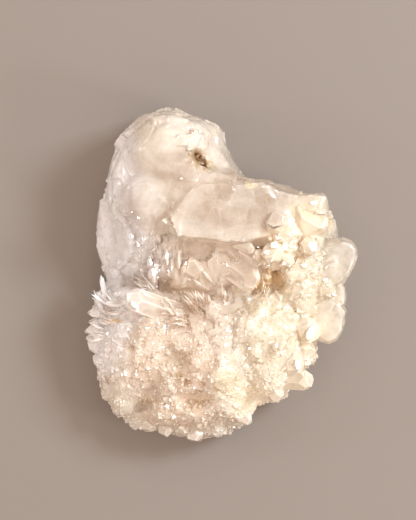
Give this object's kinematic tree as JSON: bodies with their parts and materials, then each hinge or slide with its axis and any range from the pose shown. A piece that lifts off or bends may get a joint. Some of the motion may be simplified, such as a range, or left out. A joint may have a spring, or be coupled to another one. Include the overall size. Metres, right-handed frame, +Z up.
{
  "type": "clear quartz cluster",
  "caption": "Natural clear and milky quartz cluster: massive head, lying points, clear tabs and a druse of small points on a flat cut underside.",
  "frame": {"origin": "centre of the bounding box in plan, on the flat underside", "axes": "+Z up from the flat underside; +Y along the length towards the massive head; +X towards the clear tabs"},
  "size_m": [0.0826, 0.1008, 0.0372],
  "materials": {
    "quartz": "milky translucent quartz with glassy crystal faces, faint iron staining"
  },
  "bodies": {
    "root": {"quartz_cluster": "quartz"}
  },
  "joints": []
}
